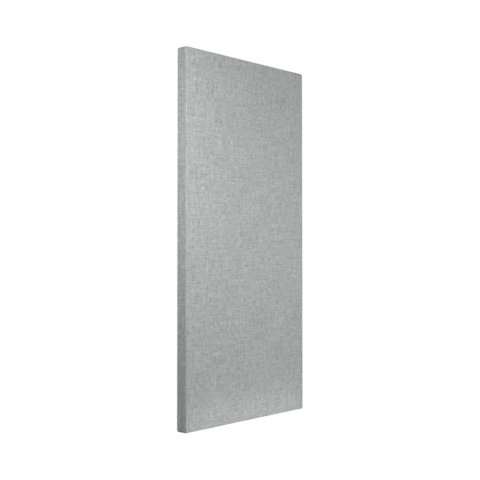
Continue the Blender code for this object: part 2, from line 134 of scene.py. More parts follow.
def lamp(name, place, aim, width, height, watts):
    """A soft box that faces a point and shows in no view."""
    light = bpy.data.lights.new(name, "AREA")
    light.shape = "RECTANGLE"
    light.size, light.size_y = width, height
    light.energy = watts
    made = bpy.data.objects.new(name, light)
    scene.collection.objects.link(made)
    made.visible_camera = False
    made.location = place
    made.rotation_euler = (Vector(aim) - Vector(place)).to_track_quat("-Z", "Y").to_euler()


MIDDLE = (0.0, 0.0, 0.0)
lamp("key_light", (-0.987, -0.563, 0.397), (-0.3, 0.0, 0.1), width=0.5, height=0.5, watts=8.11)
lamp("front_light", (0.309, -1.14, 0.0), MIDDLE, width=1.2, height=1.0, watts=8.62)
lamp("card_light", (0.0, -0.135, -0.585), (0.0, 0.0, -0.585), width=0.66, height=0.05, watts=0.108)
lamp("back_light", (1.7, 1.2, 1.6), MIDDLE, width=1.2, height=1.2, watts=62.0)


# Face cloth
# One piece of grey melange cloth, woven plain from slubby yarns, is drawn over the front and the sides and
# stapled on the back. Its corners are pleated under on the top and the bottom, and mitred on the back.
cloth_low, cloth_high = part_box("face_cloth")
HALF_WIDTH, HALF_HEIGHT = cloth_high.x, cloth_high.z
CLOTH_FRONT_Y, CLOTH_BACK_Y = cloth_low.y, cloth_high.y
CORNER_RADIUS = 0.006
MITRE_RADIUS = 0.0005
FRONT_ARRIS = 0.003
BACK_ARRIS = 0.0025
CLOTH_RETURN = 0.028
CLOTH_THICKNESS = 0.0006
ARRIS_STEPS, SIDE_STEPS, RETURN_STEPS, CORNER_STEPS = 4, 6, 10, 6
CLOTH_PITCH = 0.007
FIRST_STEP, FINE_REACH = 0.0034, 0.045
FINE_PITCH, PITCH_GROWTH = 0.0018, 0.08
SLAB_SWELL, BATTEN_SWELL = 0.0005, 0.0002
RETURN_PUFF, HEM_CURL, HEM_WAVER = 0.0004, 0.0009, 0.0008
FLAT_SPAN = 1.4
STAPLE_INSET = 0.0185
STAPLE_SPACING = 0.042
STAPLE_STRAY, STAPLE_SLANT = 0.002, math.radians(5)
END_REACH, SIDE_REACH = 0.252, 0.525
BUMPER_Z = sum(corner.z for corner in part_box("bumper_top_right")) / 2
STRAP_LOW, STRAP_HIGH = (corner.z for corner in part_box("hanger_strap_right"))
STRAP_MARGIN = 0.012


def smooth_step(value, start, end):
    share = min(max((value - start) / (end - start), 0.0), 1.0)
    return share * share * (3 - 2 * share)


def uneven(seed, *place):
    """Smooth noise from -1 to 1 at a place given in wavelengths."""
    return noise.noise(Vector((*place, seed * 7.31)[:3]) + Vector((seed * 3.17, seed * 1.73, seed * 5.91)))


def staple_places():
    """Each side's staples, as (side, out, place along the side, slant), clear of the strap hangers."""
    places = []
    for side, out in (("top", 1), ("bottom", -1), ("left", -1), ("right", 1)):
        reach = END_REACH if side in ("top", "bottom") else SIDE_REACH
        count = round(2 * reach / STAPLE_SPACING)
        for i in range(count + 1):
            along = -reach + 2 * reach * i / count + STAPLE_STRAY * uneven(len(places), 0.3, 0.7)
            slant = STAPLE_SLANT * uneven(len(places), 0.6, 0.2)
            by_strap = STRAP_LOW - STRAP_MARGIN < along < STRAP_HIGH + STRAP_MARGIN
            if side in ("top", "bottom") or not by_strap:
                places.append((side, out, along, slant))
    return places


STAPLES = staple_places()


def wrap_rows():
    """The cloth's way from the front to its hem: (length so far, inset, y, (outward, backward) normal)."""
    rows = []
    for i in range(ARRIS_STEPS + 1):
        turn = math.pi / 2 * i / ARRIS_STEPS
        inset = FRONT_ARRIS * (1 - math.sin(turn))
        y = CLOTH_FRONT_Y + FRONT_ARRIS * (1 - math.cos(turn))
        rows.append((FRONT_ARRIS * turn, inset, y, (math.sin(turn), -math.cos(turn))))
    start = rows[-1][0]
    side = CLOTH_BACK_Y - CLOTH_FRONT_Y - FRONT_ARRIS - BACK_ARRIS
    for i in range(1, SIDE_STEPS + 1):
        further = side * i / SIDE_STEPS
        rows.append((start + further, 0.0, CLOTH_FRONT_Y + FRONT_ARRIS + further, (1.0, 0.0)))
    start = rows[-1][0]
    for i in range(1, ARRIS_STEPS + 1):
        turn = math.pi / 2 * i / ARRIS_STEPS
        y = CLOTH_BACK_Y - BACK_ARRIS * (1 - math.sin(turn))
        inset = BACK_ARRIS * (1 - math.cos(turn))
        rows.append((start + BACK_ARRIS * turn, inset, y, (math.cos(turn), math.sin(turn))))
    start = rows[-1][0]
    flap = CLOTH_RETURN - BACK_ARRIS
    for i in range(1, RETURN_STEPS + 1):
        further = flap * i / RETURN_STEPS
        rows.append((start + further, BACK_ARRIS + further, CLOTH_BACK_Y, (0.0, 1.0)))
    return rows


# The pleat beside each corner as (inwards along the edge, outwards), its under layers first
PLEAT_UNDER = ((0.0015, 0.0), (0.0030, 0.0), (0.00335, 0.000025))
PLEAT_OVER = (
    (0.0030, 0.00005),
    (0.0015, 0.00005),
    (-0.0002, 0.00005),
    (-0.00065, 0.00023),
    (-0.00083, 0.00068),
    (-0.00065, 0.00112),
    (-0.0002, 0.0013),
    (0.0016, 0.0013),
)
PLEAT_RISE = PLEAT_OVER[-1][1]
PLEAT_START, PLEAT_GROWTH = 0.0025, 0.007
PLEAT_LAP, PLEAT_EASE = 0.038, 0.003


def pleat_growth(length):
    """The pleat grows out of the front corner."""
    return smooth_step(length, PLEAT_START, PLEAT_START + PLEAT_GROWTH)


def pleat_rise(along, length):
    """How far the pleated layers lift the cloth, at a distance along the edge from its corner."""
    reach = min(length - PLEAT_START, PLEAT_LAP)
    beyond = smooth_step(along, reach - PLEAT_EASE, reach + PLEAT_EASE)
    return PLEAT_RISE * pleat_growth(length) * (1 - beyond)


def edge_shares(half, fine):
    """Places along a straight edge, as shares of half its length, closer together near pleated corners."""
    steps = [FIRST_STEP]
    while fine and steps[-1] < FINE_REACH:
        steps.append(steps[-1] + min(FINE_PITCH + PITCH_GROWTH * steps[-1], CLOTH_PITCH))
    count = round(2 * (half - steps[-1]) / CLOTH_PITCH)
    middle = [-1 + steps[-1] / half + 2 * (1 - steps[-1] / half) * i / count for i in range(count + 1)]
    ends = [1 - step / half for step in steps[:-1]]
    return sorted([-end for end in ends] + middle + ends)


def wrap_columns():
    """Columns round the panel, anticlockwise seen from the front: (kind, sign of x, sign of z, number)."""
    across = edge_shares(HALF_WIDTH - CORNER_RADIUS, True)
    up = edge_shares(HALF_HEIGHT - CORNER_RADIUS, False)

    def corner(sx, sz):
        arcs = [("arc", sx, sz, i / CORNER_STEPS) for i in range(CORNER_STEPS + 1)]
        return arcs + [("pleat", sx, sz, i) for i in range(len(PLEAT_UNDER) + len(PLEAT_OVER))]

    columns = [("side", 1, 0, share) for share in up] + corner(1, 1)
    columns += [("edge", 0, 1, share) for share in reversed(across)] + corner(-1, 1)[::-1]
    columns += [("side", -1, 0, share) for share in reversed(up)] + corner(-1, -1)
    columns += [("edge", 0, -1, share) for share in across] + corner(1, -1)[::-1]
    return columns


def return_lift(along, inset, side):
    """The cloth on the back lies down at its staples and under the fittings, and lifts between them."""
    if side in ("left", "right"):
        clear = min(abs(along - BUMPER_Z), abs(along + BUMPER_Z)) - 0.008
        clear = min(clear, max(STRAP_LOW - along, along - STRAP_HIGH) - 0.004)
    else:
        clear = 1.0
    free = smooth_step(clear, 0.0, 0.012)
    near = min(
        math.hypot((along - place) / 0.010, (inset - STAPLE_INSET) / 0.007)
        for name, _, place, _ in STAPLES
        if name == side
    )
    held = math.exp(-near * near)
    seed = ("top", "bottom", "left", "right").index(side) + 11
    puff = RETURN_PUFF * (1 + 0.8 * uneven(seed, along / 0.06, inset / 0.03))
    puff *= smooth_step(inset, 0.003, 0.012)
    curl = HEM_CURL * (0.6 + uneven(seed + 4, along / 0.035, 0.5))
    curl *= smooth_step(inset, STAPLE_INSET, CLOTH_RETURN)
    return free * (1 - held) * (puff + curl)


def wrap_point(column, row):
    """A point of the cloth and its place on the flat cloth, as the sides' cloth and as the ends' cloth."""
    kind, sx, sz, number = column
    length, inset, y, (outward, backward) = row
    if inset > BACK_ARRIS and outward == 0.0:
        hem = HEM_WAVER * uneven(5 if kind == "side" else 6, number * 17.0, sx + 2.0 * sz)
        inset += hem * smooth_step(inset, STAPLE_INSET, CLOTH_RETURN)
    radius = max(CORNER_RADIUS - inset, MITRE_RADIUS)
    x_reach, z_reach = HALF_WIDTH - inset - radius, HALF_HEIGHT - inset - radius
    rise = 0.0
    if kind == "side":
        x, z, flat_z, way = sx * (HALF_WIDTH - inset), number * z_reach, number * z_reach, (sx, 0)
        if backward > 0.9:
            rise = return_lift(z, inset, "right" if sx > 0 else "left")
        else:
            rise = BATTEN_SWELL * (1 + uneven(3, z / 0.11, length / 0.05)) * outward
    elif kind == "edge":
        x, z, flat_z, way = number * x_reach, sz * (HALF_HEIGHT - inset), sz * HALF_HEIGHT, (0, sz)
        rise = pleat_rise(x_reach * (1 - abs(number)), length)
        if backward > 0.9:
            rise += return_lift(x, inset, "top" if sz > 0 else "bottom")
        else:
            rise += BATTEN_SWELL * (1 + uneven(4, x / 0.11, length / 0.05)) * outward
    elif kind == "arc":
        turn = math.pi / 2 * number
        way = (sx * math.cos(turn), sz * math.sin(turn))
        x, z = sx * x_reach + radius * way[0], sz * z_reach + radius * way[1]
        flat_z = sz * (z_reach + radius * turn)
    else:
        along, rise = (PLEAT_UNDER + PLEAT_OVER)[number]
        along, rise = along * pleat_growth(length), rise * pleat_growth(length)
        x, z, way = sx * (x_reach - along), sz * (HALF_HEIGHT - inset), (0, sz)
        flat_z = sz * (z_reach + radius * math.pi / 2 + along)
    point = (x + way[0] * outward * rise, y + backward * rise, z + way[1] * outward * rise)
    side_flat = (sx * (HALF_WIDTH - FRONT_ARRIS + length), flat_z)
    end_flat = (x, sz * (HALF_HEIGHT - FRONT_ARRIS + length))
    return point, side_flat, end_flat


def front_swell(x, z):
    """The slab behind the cloth is a little uneven."""
    near_edge = min(HALF_WIDTH - abs(x), HALF_HEIGHT - abs(z))
    return SLAB_SWELL * (1 + uneven(1, x / 0.16, z / 0.2)) * smooth_step(near_edge, 0.008, 0.09)


def face_cloth_mesh():
    rows, columns = wrap_rows(), wrap_columns()
    points, faces, flats = [], [], []

    def add_face(corners):
        """Corners are (point's number, flat place). A corner that repeats the one before it is left out."""
        kept = [corner for i, corner in enumerate(corners) if corner[0] != corners[i - 1][0]]
        if len(kept) > 2:
            faces.append([corner[0] for corner in kept])
            flats.extend(corner[1] for corner in kept)

    net = []
    for row in rows:
        line = []
        for column in columns:
            if column[0] == "pleat" and row[0] <= PLEAT_START:
                line.append(None)
                continue
            point, side_flat, end_flat = wrap_point(column, row)
            line.append((len(points), side_flat, end_flat))
            points.append(point)
        for i, (_, sx, sz, _) in enumerate(columns):
            if line[i] is None:
                line[i] = line[columns.index(("arc", sx, sz, 1.0))]
        net.append(line)
    under = len(PLEAT_UNDER)
    for near, far in zip(net, net[1:]):
        for i in range(len(columns)):
            j = (i + 1) % len(columns)
            kinds = [(columns[k][0], columns[k][3]) for k in (i, j)]
            on_end = any(kind == "edge" or (kind == "pleat" and number >= under) for kind, number in kinds)
            use = 2 if on_end else 1
            add_face([(line[k][0], line[k][use]) for line, k in ((near, i), (far, i), (far, j), (near, j))])

    # The front: straight lines between the columns, with a fan in each corner
    first = {column: net[0][i][0] for i, column in enumerate(columns)}
    inset = FRONT_ARRIS
    radius = CORNER_RADIUS - inset
    x_reach, z_reach = HALF_WIDTH - inset - radius, HALF_HEIGHT - inset - radius
    across = [-1.0] + [c[3] for c in columns if c[0] == "edge" and c[2] == -1] + [1.0]
    up = [-1.0] + [c[3] for c in columns if c[0] == "side" and c[1] == 1] + [1.0]
    inner = {}
    for i, share_x in enumerate(across):
        for j, share_z in enumerate(up):
            x, z = share_x * x_reach, share_z * z_reach
            inner[i, j] = len(points)
            points.append((x, CLOTH_FRONT_Y - front_swell(x, z), z))

    def front_face(*numbers):
        add_face([(number, (points[number][0], points[number][2])) for number in numbers])

    last_x, last_z = len(across) - 1, len(up) - 1
    for i in range(last_x):
        for j in range(last_z):
            front_face(inner[i, j], inner[i + 1, j], inner[i + 1, j + 1], inner[i, j + 1])

    def rim(side, sign, share):
        if abs(share) < 1:
            return first["side", sign, 0, share] if side == "side" else first["edge", 0, sign, share]
        if side == "side":
            return first["arc", sign, int(share), 0.0]
        return first["arc", int(share), sign, 1.0]

    for i in range(last_x):
        a, b = across[i], across[i + 1]
        front_face(rim("edge", -1, a), rim("edge", -1, b), inner[i + 1, 0], inner[i, 0])
        front_face(inner[i, last_z], inner[i + 1, last_z], rim("edge", 1, b), rim("edge", 1, a))
    for j in range(last_z):
        a, b = up[j], up[j + 1]
        front_face(rim("side", -1, a), inner[0, j], inner[0, j + 1], rim("side", -1, b))
        front_face(inner[last_x, j], rim("side", 1, a), rim("side", 1, b), inner[last_x, j + 1])
    for sx, i in ((-1, 0), (1, last_x)):
        for sz, j in ((-1, 0), (1, last_z)):
            for step in range(CORNER_STEPS):
                pair = [first["arc", sx, sz, (step + k) / CORNER_STEPS] for k in (0, 1)]
                front_face(inner[i, j], *(pair if sx == sz else pair[::-1]))

    mesh = bpy.data.meshes.new("face_cloth_drawn")
    mesh.from_pydata(points, [], faces)
    flat_map = mesh.uv_layers.new(name="flat_cloth")
    flat_map.data.foreach_set("uv", (np.array(flats) / FLAT_SPAN + 0.5).ravel())
    mesh.shade_smooth()
    return mesh


face_cloth = bpy.data.objects.new("face_cloth_drawn", face_cloth_mesh())
scene.collection.objects.link(face_cloth)


def thicken(piece, thickness):
    """Gives a sheet its thickness, behind the surface it was modelled as."""
    bpy.ops.object.select_all(action="DESELECT")
    piece.select_set(True)
    bpy.context.view_layer.objects.active = piece
    wall = piece.modifiers.new("wall", "SOLIDIFY")
    wall.thickness = thickness
    wall.offset = -1.0
    bpy.ops.object.modifier_apply(modifier="wall")


thicken(face_cloth, CLOTH_THICKNESS)


def new_finish(name, roughness, metallic=0.0):
    """A material, its node tree and the inputs of its shader."""
    made = bpy.data.materials.new(name)
    made.use_nodes = True
    inputs = made.node_tree.nodes["Principled BSDF"].inputs
    inputs["Roughness"].default_value = roughness
    inputs["Metallic"].default_value = metallic
    return made, made.node_tree, inputs


def stretched(tree, vector, lengths, shift=(0.0, 0.0, 0.0)):
    """A vector in units of the given lengths, so that a pattern on it is that long each way."""
    scale = tuple(1.0 / length for length in lengths)
    return shader_node(tree, "VectorMath", {0: vector, 1: scale, 2: shift}, operation="MULTIPLY_ADD")[0]


def grain_at(tree, vector, detail=2.0, roughness=0.5):
    inputs = {"Vector": vector, "Scale": 1.0, "Detail": detail, "Roughness": roughness}
    return shader_node(tree, "TexNoise", inputs)["Fac"]


def blended(tree, first, second, share):
    """Two patterns added up, the first in the given share and the second in what is left of one."""
    part = calculated(tree, "MULTIPLY", first, share)
    return calculated(tree, "ADD", part, calculated(tree, "MULTIPLY", second, 1.0 - share))


def mixed(tree, share, first, second):
    colours = [(*c, 1.0) if isinstance(c, tuple) else c for c in (first, second)]
    return shader_node(tree, "Mix", {0: share, 6: colours[0], 7: colours[1]}, data_type="RGBA")[2]


def spread(tree, value, low, high):
    """A value that is drawn out from between two limits to between zero and one."""
    return shader_node(tree, "MapRange", {"Value": value, 1: low, 2: high})[0]


def bumped(tree, inputs, height, distance, strength=1.0):
    bump = shader_node(tree, "Bump", {"Strength": strength, "Distance": distance, "Height": height})["Normal"]
    tree.links.new(bump, inputs["Normal"])


YARN = 0.0011
DARK_YARN, LIGHT_YARN = (0.2125, 0.216, 0.214), (0.608, 0.617, 0.613)
SHORT_SLUB_SHARE = 0.54
FIBRE_TONE = 0.25
# Painted shade in the hollows between the yarns, and painted light on their round crowns
PAINTED_HOLLOW_SHADE, PAINTED_CROWN_LIGHT = 0.86, 0.22
WEAVE_HEIGHT = 0.00012
melange, tree, inputs = new_finish("grey_melange_cloth", 0.92)
flat = shader_node(tree, "UVMap", {}, uv_map="flat_cloth")[0]
metres = shader_node(tree, "VectorMath", {0: flat, "Scale": FLAT_SPAN}, operation="SCALE")[0]
exact = shader_node(tree, "SeparateXYZ", {0: metres})
snapped = shader_node(tree, "VectorMath", {0: metres, 1: (YARN, YARN, 1.0)}, operation="SNAP")[0]
whole = shader_node(tree, "SeparateXYZ", {0: snapped})
on_warp = shader_node(tree, "CombineXYZ", {"X": whole["X"], "Y": exact["Y"]})[0]
on_weft = shader_node(tree, "CombineXYZ", {"X": exact["X"], "Y": whole["Y"]})[0]
slubs = []
for yarn, short, long, shift in (
    (on_warp, (0.0042, 0.019, 1.0), (0.0036, 0.095, 1.0), (0.0, 0.0, 0.0)),
    (on_weft, (0.021, 0.0034, 1.0), (0.100, 0.0027, 1.0), (31.0, 57.0, 0.0)),
):
    short_slub = grain_at(tree, stretched(tree, yarn, short, shift), 1.0)
    long_slub = grain_at(tree, stretched(tree, yarn, long, shift), 1.0)
    slubs.append(blended(tree, short_slub, long_slub, SHORT_SLUB_SHARE))
yarns = stretched(tree, metres, (YARN, YARN, 1.0), (0.0, 0.0, 0.5))
over = shader_node(tree, "TexChecker", {"Vector": yarns, "Scale": 1.0})["Fac"]
slub = shader_node(tree, "Mix", {0: over, 2: slubs[0], 3: slubs[1]})[0]
fibre = grain_at(tree, stretched(tree, metres, (0.0004, 0.0004, 1.0)), 1.0)
tone = calculated(tree, "MULTIPLY_ADD", fibre, FIBRE_TONE, -FIBRE_TONE / 2)
tone = calculated(tree, "ADD", tone, slub)
tone = spread(tree, tone, 0.31, 0.69)
split = shader_node(tree, "SeparateXYZ", {0: yarns})
rounds = []
for axis in ("X", "Y"):
    wave = calculated(tree, "SINE", calculated(tree, "MULTIPLY", split[axis], math.pi))
    rounds.append(calculated(tree, "ABSOLUTE", wave))
relief = shader_node(tree, "Mix", {0: over, 2: rounds[0], 3: rounds[1]})[0]
# The cloth's colour is darkened in the weave's hollows and lightened on the yarns' crowns: painted shade and
# painted light from the relief
painted_yarn_shade = calculated(tree, "MULTIPLY_ADD", relief, PAINTED_CROWN_LIGHT, PAINTED_HOLLOW_SHADE)
yarn_colour = mixed(tree, tone, DARK_YARN, LIGHT_YARN)
woven_with_painted_shade = shader_node(tree, "VectorMath", {0: yarn_colour, "Scale": painted_yarn_shade}, operation="SCALE")[0]
tree.links.new(woven_with_painted_shade, inputs["Base Color"])
inputs["Specular IOR Level"].default_value = 0.25
inputs["Sheen Weight"].default_value = 0.2
inputs["Sheen Roughness"].default_value = 0.6
height = calculated(tree, "ADD", relief, calculated(tree, "MULTIPLY", slub, 1.2))
bumped(tree, inputs, height, WEAVE_HEIGHT)
face_cloth.data.materials.append(melange)
hem_row = wrap_rows()[-1]
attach(face_cloth, "root")
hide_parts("face_cloth")


# Loose threads
# Ends of the face cloth's yarns, of the same grey fibre. The cloth's hem on the back is a raw cut, and they
# have worked loose along it as short bent strands.
THREAD_RADIUS = 0.00011
THREAD_COUNT = 420
THREAD_STEPS = 3
THREAD_ROOT = 0.0003
THREAD_LENGTHS = (0.0010, 0.0034)
HEM_REACH = 0.985
HEM_SIDES = (("side", -1), ("side", 1), ("side", -1), ("side", 1), ("edge", -1), ("edge", 1))
draw = random.Random(12)
hem_curve = bpy.data.curves.new("hem_threads", "CURVE")
hem_curve.dimensions = "3D"
hem_curve.bevel_depth = THREAD_RADIUS
hem_curve.bevel_resolution = 0
for _ in range(THREAD_COUNT):
    kind, sign = draw.choice(HEM_SIDES)
    share = draw.uniform(-HEM_REACH, HEM_REACH)
    column = (kind, sign, 0, share) if kind == "side" else (kind, 0, sign, share)
    (x, y, z), _, _ = wrap_point(column, hem_row)
    turn = draw.gauss(0.0, 0.55)
    length = draw.uniform(*THREAD_LENGTHS)
    bend = draw.gauss(0.0, 0.5)
    thread = hem_curve.splines.new("POLY")
    thread.points.add(THREAD_STEPS)
    for k, point in enumerate(thread.points):
        reach = length * (k / THREAD_STEPS) - THREAD_ROOT
        aside = reach * math.tan(max(min(turn + bend * k / THREAD_STEPS, 1.2), -1.2)) * 0.6
        lift = y - CLOTH_THICKNESS / 2 + draw.uniform(-0.00005, 0.00012) * k
        place = (x - sign * reach, lift, z + aside) if kind == "side" else (x + aside, lift, z - sign * reach)
        point.co = (*place, 1.0)
hem_threads = bpy.data.objects.new("hem_threads", hem_curve)
scene.collection.objects.link(hem_threads)
bpy.ops.object.select_all(action="DESELECT")
hem_threads.select_set(True)
bpy.context.view_layer.objects.active = hem_threads
bpy.ops.object.convert(target="MESH")
loose_yarn, tree, inputs = new_finish("loose_yarn", 0.9)
place = shader_node(tree, "TexCoord", {})["Object"]
tint = grain_at(tree, stretched(tree, place, (0.004, 0.004, 0.004)), 2.0)
strand_colour = mixed(tree, spread(tree, tint, 0.35, 0.65), (0.22, 0.226, 0.223), (0.60, 0.612, 0.605))
tree.links.new(strand_colour, inputs["Base Color"])
inputs["Sheen Weight"].default_value = 0.3
bumped(tree, inputs, grain_at(tree, stretched(tree, place, (0.0002, 0.0002, 0.0002))), 0.00005)
hem_threads.data.materials.append(loose_yarn)
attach(hem_threads, "root")


# Back cover
# A black spun-bonded sheet that closes the back. It is stapled to the battens under the cloth's hem, lies
# on the gussets and the brace, and dips a little towards the slab between them.
COVER_PITCH = 0.005
COVER_DIP = 0.0030
COVER_THICKNESS = 0.0004
BATTEN_SHOULDER = 0.0213
LEDGE_X, LEDGE_Z = HALF_WIDTH - BATTEN_SHOULDER, HALF_HEIGHT - BATTEN_SHOULDER
GUSSET_LEG = 0.090
GUSSET_SPAN = 0.104
SETTLING_ROUNDS = 4000
PUCKER_REACH = 0.04
cover_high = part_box("back_cover")[1]
brace_high_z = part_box("back_brace")[1].z


def even_steps(half, pitch):
    return np.linspace(-half, half, round(2 * half / pitch) + 1)


def neighbours(grid):
    """The sum of the four places round each inner place of a grid."""
    return grid[:-2, 1:-1] + grid[2:, 1:-1] + grid[1:-1, :-2] + grid[1:-1, 2:]


def cover_dips(xs, zs):
    """A membrane that is held where something lies behind it, and drawn in evenly elsewhere."""
    x, z = np.meshgrid(np.abs(xs), np.abs(zs), indexing="ij")
    from_side, from_end = LEDGE_X - x, LEDGE_Z - z
    gusset = (from_side < GUSSET_LEG) & (from_end < GUSSET_LEG) & (from_side + from_end < GUSSET_SPAN)
    held = (from_side < 0) | (from_end < 0) | (z < brace_high_z) | gusset
    dip = np.zeros_like(x)
    for _ in range(SETTLING_ROUNDS):
        dip[1:-1, 1:-1] = neighbours(dip) / 4 + 1.0
        dip[held] = 0.0
    dip *= COVER_DIP / dip.max()
    blurred = dip.copy()
    blurred[1:-1, 1:-1] = (neighbours(dip) + 4 * dip[1:-1, 1:-1]) / 8
    return blurred


def grid_mesh(name, xs, zs, depth_at, facing):
    """A sheet over a grid in X and Z that faces the back (1) or the front (-1)."""
    points = [(x, depth_at(i, j), z) for i, x in enumerate(xs) for j, z in enumerate(zs)]
    rows = len(zs)
    faces = []
    for i in range(len(xs) - 1):
        for j in range(rows - 1):
            quad = (i * rows + j, (i + 1) * rows + j, (i + 1) * rows + j + 1, i * rows + j + 1)
            faces.append(quad[::-facing])
    mesh = bpy.data.meshes.new(name)
    mesh.from_pydata(points, [], faces)
    mesh.shade_smooth()
    made = bpy.data.objects.new(name, mesh)
    scene.collection.objects.link(made)
    return made


cover_xs, cover_zs = even_steps(cover_high.x, COVER_PITCH), even_steps(cover_high.z, COVER_PITCH)
dips = cover_dips(cover_xs, cover_zs)


def cover_depth(i, j):
    """The dip, with puckers that run in from the staples and soft wrinkles in the open fields."""
    x, z = cover_xs[i], cover_zs[j]
    loose = smooth_step(dips[i, j], 0.0, 0.0004)
    edge_x, edge_z = LEDGE_X - abs(x), LEDGE_Z - abs(z)
    pucker = math.exp(-max(edge_x, 0) / PUCKER_REACH) * math.cos(math.tau * (z - SIDE_REACH) / STAPLE_SPACING)
    pucker += math.exp(-max(edge_z, 0) / PUCKER_REACH) * math.cos(math.tau * (x - END_REACH) / STAPLE_SPACING)
    bow = 0.4 * uneven(20, x / 0.3, z / 0.3)
    upright = (1 - abs(uneven(21, x / 0.09 + bow, z / 0.45))) ** 3
    upright *= smooth_step(uneven(24, x / 0.25, z / 0.3), -0.3, 0.3)
    leaning = (1 - abs(uneven(22, (x + z) / 0.11 - bow, (x - z) / 0.4))) ** 3
    leaning *= smooth_step(uneven(25, x / 0.25, z / 0.3), -0.2, 0.3)
    drift = uneven(23, x / 0.06, z / 0.08)
    slack = 0.0018 * upright + 0.0015 * leaning + 0.0003 * drift - 0.0005 * pucker + 0.0006
    return cover_high.y - dips[i, j] - loose * max(slack, 0.0)


back_cover = grid_mesh("back_cover_drawn", cover_xs, cover_zs, cover_depth, 1)
thicken(back_cover, COVER_THICKNESS)


def turned_round_y(tree, vector, degrees):
    """A vector that is turned in the plane of the panel."""
    inputs = {"Vector": vector, "Angle": math.radians(degrees)}
    return shader_node(tree, "VectorRotate", inputs, rotation_type="Y_AXIS")[0]


nonwoven, tree, inputs = new_finish("black_nonwoven", 0.82)
place = shader_node(tree, "TexCoord", {})["Object"]
cloud = grain_at(tree, stretched(tree, place, (0.012, 0.012, 0.012)), 4.0, 0.65)
strand = grain_at(tree, stretched(tree, place, (0.0009, 0.01, 0.004)), 3.0, 0.6)
bond_grid = {"Vector": turned_round_y(tree, place, 45), "Scale": 620.0, "Randomness": 0.12}
bond = spread(tree, shader_node(tree, "TexVoronoi", bond_grid)["Distance"], 0.12, 0.34)
density = blended(tree, cloud, strand, 0.65)
web = mixed(tree, spread(tree, density, 0.3, 0.7), (0.018, 0.018, 0.0187), (0.046, 0.046, 0.047))
web = mixed(tree, bond, (0.012, 0.012, 0.0125), web)
tree.links.new(web, inputs["Base Color"])
tree.links.new(calculated(tree, "MULTIPLY_ADD", bond, 0.22, 0.6), inputs["Roughness"])
inputs["Specular IOR Level"].default_value = 0.2
inputs["Sheen Weight"].default_value = 0.1
inputs["Sheen Roughness"].default_value = 0.5
bumped(tree, inputs, calculated(tree, "ADD", bond, density), 0.00012)
back_cover.data.materials.append(nonwoven)
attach(back_cover, "root")
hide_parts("back_cover")


# Veil
# A white tissue of bonded glass fibres. It is laid over the slab and the front of the frame before the face
# cloth is drawn on, and keeps the slab's loose fibres in.
VEIL_PITCH = 0.02
VEIL_THICKNESS = 0.0006
veil_low, veil_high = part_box("front_veil")
veil_xs, veil_zs = even_steps(veil_high.x, VEIL_PITCH), even_steps(veil_high.z, VEIL_PITCH)


def veil_depth(i, j):
    return veil_low.y + 0.0001 * (1 + uneven(31, veil_xs[i] / 0.08, veil_zs[j] / 0.08))


front_veil = grid_mesh("front_veil_laid", veil_xs, veil_zs, veil_depth, -1)
thicken(front_veil, VEIL_THICKNESS)
tissue, tree, inputs = new_finish("white_glass_tissue", 0.85)
place = shader_node(tree, "TexCoord", {})["Object"]
fibres = []
for turn, seed in ((20, 0.0), (-35, 9.0), (75, 17.0)):
    turned = turned_round_y(tree, place, turn)
    fibres.append(grain_at(tree, stretched(tree, turned, (0.0005, 0.02, 0.02), (seed, seed, seed)), 2.0))
laid = calculated(tree, "MAXIMUM", calculated(tree, "MAXIMUM", fibres[0], fibres[1]), fibres[2])
tissue_colour = mixed(tree, spread(tree, laid, 0.45, 0.75), (0.62, 0.62, 0.58), (0.86, 0.86, 0.84))
tree.links.new(tissue_colour, inputs["Base Color"])
inputs["Sheen Weight"].default_value = 0.1
bumped(tree, inputs, laid, 0.0001)
front_veil.data.materials.append(tissue)
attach(front_veil, "root")
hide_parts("front_veil")


# Mineral wool slab
# A board of pressed mineral fibre, cut to fill the frame between the veil and the back cover. Its faces are
# fibrous and its cut edges a little ragged.
SLAB_PITCHES = (0.012, 0.006, 0.012)
SLAB_UNEVEN = 0.0006
ON_FACE = 1e-5
slab_low, slab_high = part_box("wool_slab")
bpy.ops.object.select_all(action="DESELECT")
bpy.ops.mesh.primitive_cube_add(size=1.0)
wool_slab = bpy.context.object
wool_slab.name = "wool_slab_cut"
middle, size = (slab_low + slab_high) / 2, slab_high - slab_low
bpy.ops.object.mode_set(mode="EDIT")
bpy.ops.transform.resize(value=size)
bpy.ops.transform.translate(value=middle)
bpy.ops.object.mode_set(mode="OBJECT")
for axis, pitch in enumerate(SLAB_PITCHES):
    count = round(size[axis] / pitch)
    for i in range(1, count):
        bpy.ops.object.mode_set(mode="EDIT")
        bpy.ops.mesh.select_all(action="SELECT")
        cut = slab_low.copy()
        cut[axis] += size[axis] * i / count
        normal = [float(axis == k) for k in range(3)]
        bpy.ops.mesh.bisect(plane_co=cut, plane_no=normal)
        bpy.ops.object.mode_set(mode="OBJECT")
for vertex in wool_slab.data.vertices:
    away = vertex.co - middle
    ragged = 1 + uneven(41, *(vertex.co.xz / 0.03))
    for axis in range(3):
        if abs(abs(away[axis]) - size[axis] / 2) < ON_FACE:
            vertex.co[axis] -= math.copysign(SLAB_UNEVEN / 2 * ragged, away[axis])
wool_slab.data.shade_smooth()
mineral, tree, inputs = new_finish("mineral_wool", 0.97)
place = shader_node(tree, "TexCoord", {})["Object"]
lay = grain_at(tree, stretched(tree, place, (0.014, 0.0016, 0.014)), 4.0, 0.7)
tuft = grain_at(tree, stretched(tree, place, (0.002, 0.001, 0.002)), 3.0, 0.7)
wool = blended(tree, lay, tuft, 0.6)
wool_ramp = shader_node(tree, "ValToRGB", {"Fac": wool})["Color"]
stops = wool_ramp.node.color_ramp.elements
stops[0].position, stops[0].color = 0.3, (0.19, 0.165, 0.075, 1.0)
stops[1].position, stops[1].color = 0.7, (0.47, 0.425, 0.225, 1.0)
tree.links.new(wool_ramp, inputs["Base Color"])
inputs["Specular IOR Level"].default_value = 0.1
inputs["Sheen Weight"].default_value = 0.15
bumped(tree, inputs, wool, 0.0008)
wool_slab.data.materials.append(mineral)
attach(wool_slab, "root")
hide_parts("wool_slab")


